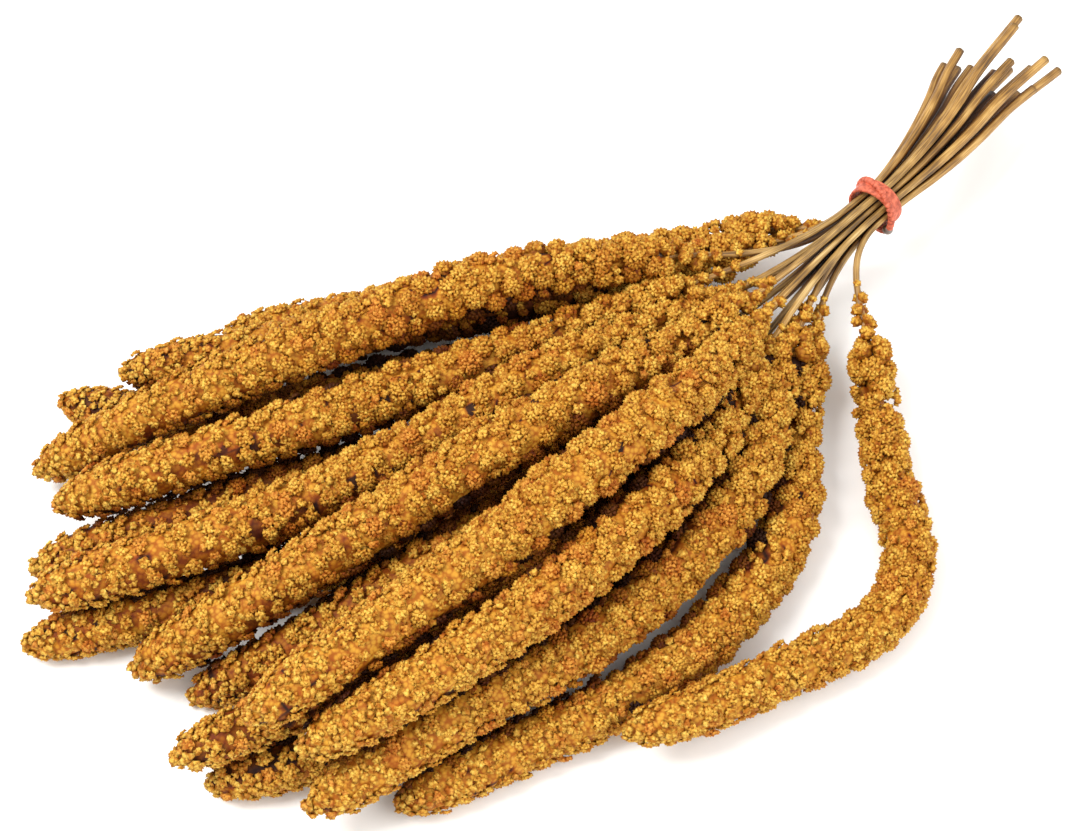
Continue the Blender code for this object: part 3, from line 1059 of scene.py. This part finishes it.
@dataclass(frozen=True)
class Stems:
    """All stems, each ribbed straw with a hollow cut end.

    A stem is riper, so more golden, near its head and at its cut end, by the shares that stand beside
    the distances from each.
    """

    count: int
    tie_centre: Vector
    sides: int = 14
    ring_pitch_mm: float = 3.0
    rib_depth: float = 0.07
    cut_rim_share: float = 0.3
    cut_hollow_mm: float = 1.2
    ripe_head_mm: tuple[float, float] = (0.0, 70.0)
    ripe_head_shares: tuple[float, float] = (0.8, 0.0)
    ripe_cut_mm: tuple[float, float] = (60.0, 120.0)
    ripe_cut_shares: tuple[float, float] = (0.45, 0.1)
    sky_reach_mm: float = 25.0
    sky_start_mm: float = 0.5
    seed: int = 5

    def build(self, straw: bpy.types.Material) -> list[bpy.types.Object]:
        """Builds every stem.

        Args:
            straw: Material of the stems.

        Returns:
            One object for each stem.
        """
        chance = random.Random(self.seed)
        nodes = [f"stem_{number:02d}" for number in range(1, self.count + 1)]
        pile = Pile(nodes, rays=16, reach=self.sky_reach_mm * MM)
        return [self._stem(number, pile, straw, chance) for number in range(1, self.count + 1)]

    def _stem(
        self, number: int, pile: Pile, straw: bpy.types.Material, chance: random.Random
    ) -> bpy.types.Object:
        """Builds one stem.

        Args:
            number: Number of the stem.
            pile: The stems that hide the sky from one another, for their painted shade.
            straw: Material of the stem.
            chance: Source of the stem's unevenness.

        Returns:
            The stem.
        """
        node = f"stem_{number:02d}"
        tube = TubeOfFrame(node, STEM_SIDES, self.tie_centre + BEYOND_CUT)
        ribs = chance.randint(5, 7)
        start = chance.uniform(0, 2 * math.pi)
        lengths = round(tube.length / (self.ring_pitch_mm * MM))

        def place(share: float, turn: float) -> Vector:
            """Point of the ribbed straw at a share of its length and of its turn."""
            angle = 2 * math.pi * turn
            radius = tube.radius(share * tube.length)
            radius *= 1 - self.rib_depth * (0.5 + 0.5 * math.cos(ribs * angle + start))
            return tube.place(share * tube.length, angle, radius)

        bm = sleeve(lengths, self.sides, place)
        self._hollow_cut_end(bm, tube)
        for face in bm.faces:
            face.smooth = len(face.verts) == 4
        fibre = []
        ripe = []
        open_to = []
        shift = chance.uniform(0, 10)
        for vert in bm.verts:
            k = int(np.abs(tube.centres - np.array(vert.co)).sum(axis=1).argmin())
            away = vert.co - Vector(tube.centres[k])
            distance = tube.along[k] + away.dot(Vector(tube.slopes[k]).normalized())
            across = vert.co - tube.point(float(np.clip(distance, 0.0, tube.length)))
            fibre.append((distance + shift, across.y + shift, across.z + shift))
            to_head_mm = (tube.length - distance) / MM
            near_head = np.interp(to_head_mm, self.ripe_head_mm, self.ripe_head_shares)
            near_cut = np.interp(distance / MM, self.ripe_cut_mm, self.ripe_cut_shares)
            ripe.append(float(max(near_head, near_cut)))
            # Painted shade: each vertex's share of open sky darkens the straw between the stems.
            outward = across.normalized()
            open_to.append(pile.open_sky(vert.co + outward * self.sky_start_mm * MM, outward))
        piece = add_piece(f"straw_stem_{number:02d}", bm, (straw,), Slot.STRAW, (node,))
        store(piece.data, Reading.FIBRE, np.array(fibre))
        store(piece.data, Reading.RIPE, np.array(ripe))
        store(piece.data, Reading.OPEN_SKY, np.array(open_to))
        return piece

    def _hollow_cut_end(self, bm: bmesh.types.BMesh, tube: TubeOfFrame) -> None:
        """Sinks the middle of the cut end, as the pith of dry straw shrinks.

        Args:
            bm: Mesh of the stem.
            tube: Rings of the stem in the frame, from its cut end.
        """
        first = tube.point(0.0)
        ends = sorted(
            (face for face in bm.faces if len(face.verts) > 4),
            key=lambda face: (face.calc_center_median() - first).length,
        )
        rim = tube.radius(0.0) * self.cut_rim_share
        bmesh.ops.inset_region(bm, faces=ends[:1], thickness=rim)
        inward = tube.heading(1 * MM) * self.cut_hollow_mm * MM
        bmesh.ops.translate(bm, vec=inward, verts=ends[0].verts)


@dataclass(frozen=True)
class Tie:
    """The elastic: a flat ribbed band, a beaded strand across it and the clip that closes it.

    The solid of the frame has the same three forms, and the sizes are those of that solid.
    """

    centre: Vector
    axis_angle: float = 10.0
    band_tilt: float = 6.0
    band_radius_mm: float = 9.9
    band_thickness_mm: float = 1.6
    band_width_mm: float = 8.0
    band_ribs: int = 5
    rib_depth_mm: float = 0.32
    band_lengths: int = 96
    band_sides: int = 40
    strand_radius_mm: float = 1.6
    strand_loop_mm: float = 11.9
    strand_tilt: float = 21.0
    strand_beads: int = 36
    bead_lengths: int = 8
    strand_sides: int = 12
    bead_depth: float = 0.3
    knob_radius_mm: float = 2.3
    knob_angle: float = -28.0

    def build(self, elastic: bpy.types.Material, clip: bpy.types.Material) -> bpy.types.Object:
        """Builds the tie.

        Args:
            elastic: Material of the band and the strand.
            clip: Material of the clip.

        Returns:
            The tie.
        """
        bm = self._band()
        for part in (self._strand(), self._knob()):
            mesh = bpy.data.meshes.new("part_of_tie")
            part.to_mesh(mesh)
            part.free()
            bm.from_mesh(mesh)
            bpy.data.meshes.remove(mesh)
        for face in bm.faces:
            face.smooth = True
        return add_piece("elastic_tie", bm, (elastic, clip), Slot.ELASTIC, ("tie",))

    def _turned(self, tilt: float) -> Matrix:
        """Matrix from a ring about X to its place round the stems."""
        turn = Matrix.Rotation(math.radians(self.axis_angle + tilt), 4, "Z")
        return Matrix.Translation(self.centre) @ turn

    def _band(self) -> bmesh.types.BMesh:
        """Makes the flat band with ribs along it.

        Returns:
            The band.
        """
        matrix = self._turned(self.band_tilt)
        inner = self.band_radius_mm
        half = self.band_width_mm / 2

        def place(share: float, turn: float) -> Vector:
            """Point of the band at a share of its loop and of its section's turn."""
            angle = 2 * math.pi * share
            section = 2 * math.pi * turn
            across = half * math.copysign(abs(math.cos(section)) ** 0.35, math.cos(section))
            out = 1 + math.copysign(abs(math.sin(section)) ** 0.5, math.sin(section))
            out *= self.band_thickness_mm / 2
            if math.sin(section) > 0.1:
                rib = 0.5 + 0.5 * math.cos(across / half * math.pi * self.band_ribs)
                out -= self.rib_depth_mm * rib
            radius = inner + out
            return matrix @ (Vector((across, radius * math.cos(angle), radius * math.sin(angle))) * MM)

        return sleeve(self.band_lengths, self.band_sides, place)

    def _strand(self) -> bmesh.types.BMesh:
        """Makes the round strand that is gathered into beads.

        Returns:
            The strand.
        """
        matrix = self._turned(self.band_tilt - self.strand_tilt)

        def place(share: float, turn: float) -> Vector:
            """Point of the strand at a share of its loop and of its section's turn."""
            angle = 2 * math.pi * share
            section = 2 * math.pi * turn
            bead = 1 - self.bead_depth * math.cos(self.strand_beads * angle / 2) ** 4
            radius = self.strand_radius_mm * bead
            out = self.strand_loop_mm + radius * math.sin(section)
            across = radius * math.cos(section)
            return matrix @ (Vector((across, out * math.cos(angle), out * math.sin(angle))) * MM)

        return sleeve(self.strand_beads * self.bead_lengths, self.strand_sides, place)

    def _knob(self) -> bmesh.types.BMesh:
        """Makes the small crimped clip that closes the strand.

        Returns:
            The clip, whose faces have the second material.
        """
        bm = bmesh.new()
        bmesh.ops.create_icosphere(bm, subdivisions=4, radius=self.knob_radius_mm * MM)
        angle = math.radians(180.0 + self.knob_angle)
        loop = self.strand_loop_mm
        place = Vector((0, loop * math.cos(angle), -loop * math.sin(angle))) * MM
        bm.transform(self._turned(self.band_tilt - self.strand_tilt) @ Matrix.Translation(place))
        for face in bm.faces:
            face.material_index = 1
        return bm


@dataclass(frozen=True)
class Lamp:
    """Square soft light, placed from the point that it faces."""

    name: str
    place: tuple[float, float, float]
    side: float
    power: float


@dataclass(frozen=True)
class Studio:
    """Camera, pale floor and soft light."""

    tie_centre: Vector
    camera_mm: tuple[float, float, float] = (-535.8, -489.7, 889.9)
    target_mm: tuple[float, float, float] = (-177.8, 3.2, 20.0)
    lens_mm: float = 85.0
    floor_size: float = 12.0
    floor_gap_mm: float = 0.3
    lamps: tuple[Lamp, ...] = (
        Lamp("key", (-0.9, 0.5, 1.6), 0.9, 33.0),
        Lamp("fill", (0.6, -1.4, 1.2), 1.6, 20.0),
    )

    def build(self, paper: bpy.types.Material) -> None:
        """Builds the studio.

        Args:
            paper: Material of the floor.
        """
        self._floor(paper)
        self._camera()
        for lamp in self.lamps:
            self._light(lamp)
        world = bpy.data.worlds.new("studio")
        world.use_nodes = True
        background = world.node_tree.nodes["Background"]
        background.inputs["Color"].default_value = (1.0, 1.0, 1.0, 1.0)
        background.inputs["Strength"].default_value = 1.0
        bpy.context.scene.world = world
        bpy.context.scene.view_settings.view_transform = "Standard"

    def _from_tie(self, place_mm: tuple[float, float, float]) -> Vector:
        """Point given in millimetres from the tie in plan, and from the floor in height."""
        return Vector((self.tie_centre.x, self.tie_centre.y, 0.0)) + Vector(place_mm) * MM

    def _floor(self, paper: bpy.types.Material) -> None:
        """Lays the pale sheet under the bunch.

        Args:
            paper: Material of the floor.
        """
        bm = bmesh.new()
        bmesh.ops.create_grid(bm, x_segments=1, y_segments=1, size=self.floor_size / 2)
        mesh = bpy.data.meshes.new("floor")
        bmesh.ops.translate(bm, vec=(0, 0, -self.floor_gap_mm * MM), verts=bm.verts)
        bm.to_mesh(mesh)
        bm.free()
        mesh.materials.append(paper)
        floor = bpy.data.objects.new("floor", mesh)
        bpy.context.scene.collection.objects.link(floor)

    def _camera(self) -> None:
        """Sets the camera at the photograph's angle."""
        data = bpy.data.cameras.new("camera")
        data.lens = self.lens_mm
        camera = bpy.data.objects.new("camera", data)
        bpy.context.scene.collection.objects.link(camera)
        camera.location = self._from_tie(self.camera_mm)
        aim = self._from_tie(self.target_mm) - camera.location
        camera.rotation_euler = aim.to_track_quat("-Z", "Y").to_euler()
        bpy.context.scene.camera = camera

    def _light(self, lamp: Lamp) -> None:
        """Sets up one light, which faces the camera's target.

        Args:
            lamp: Name, place, side in metres and power in watts of the light.
        """
        aim = self._from_tie(self.target_mm)
        place = aim + Vector(lamp.place)
        data = bpy.data.lights.new(lamp.name, "AREA")
        data.shape = "SQUARE"
        data.size = lamp.side
        data.energy = lamp.power
        light = bpy.data.objects.new(lamp.name, data)
        light.location = place
        light.rotation_euler = (aim - place).to_track_quat("-Z", "Y").to_euler()
        bpy.context.scene.collection.objects.link(light)


def main() -> None:
    """Builds the looks in order and reports each piece."""
    logging.basicConfig(level=logging.INFO, format="%(name)s: %(message)s")
    low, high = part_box("tie")
    tie_centre = (low + high) / 2
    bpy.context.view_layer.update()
    count = sum(name.startswith("head_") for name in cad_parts)

    SeedHeads(count, tie_centre).build(SeedFinish().material())
    Stems(count, tie_centre).build(StrawFinish().material())
    Tie(tie_centre).build(ElasticFinish().material(), ClipFinish().material())
    Studio(tie_centre).build(FloorFinish().material())


if __name__ == "__main__":
    main()
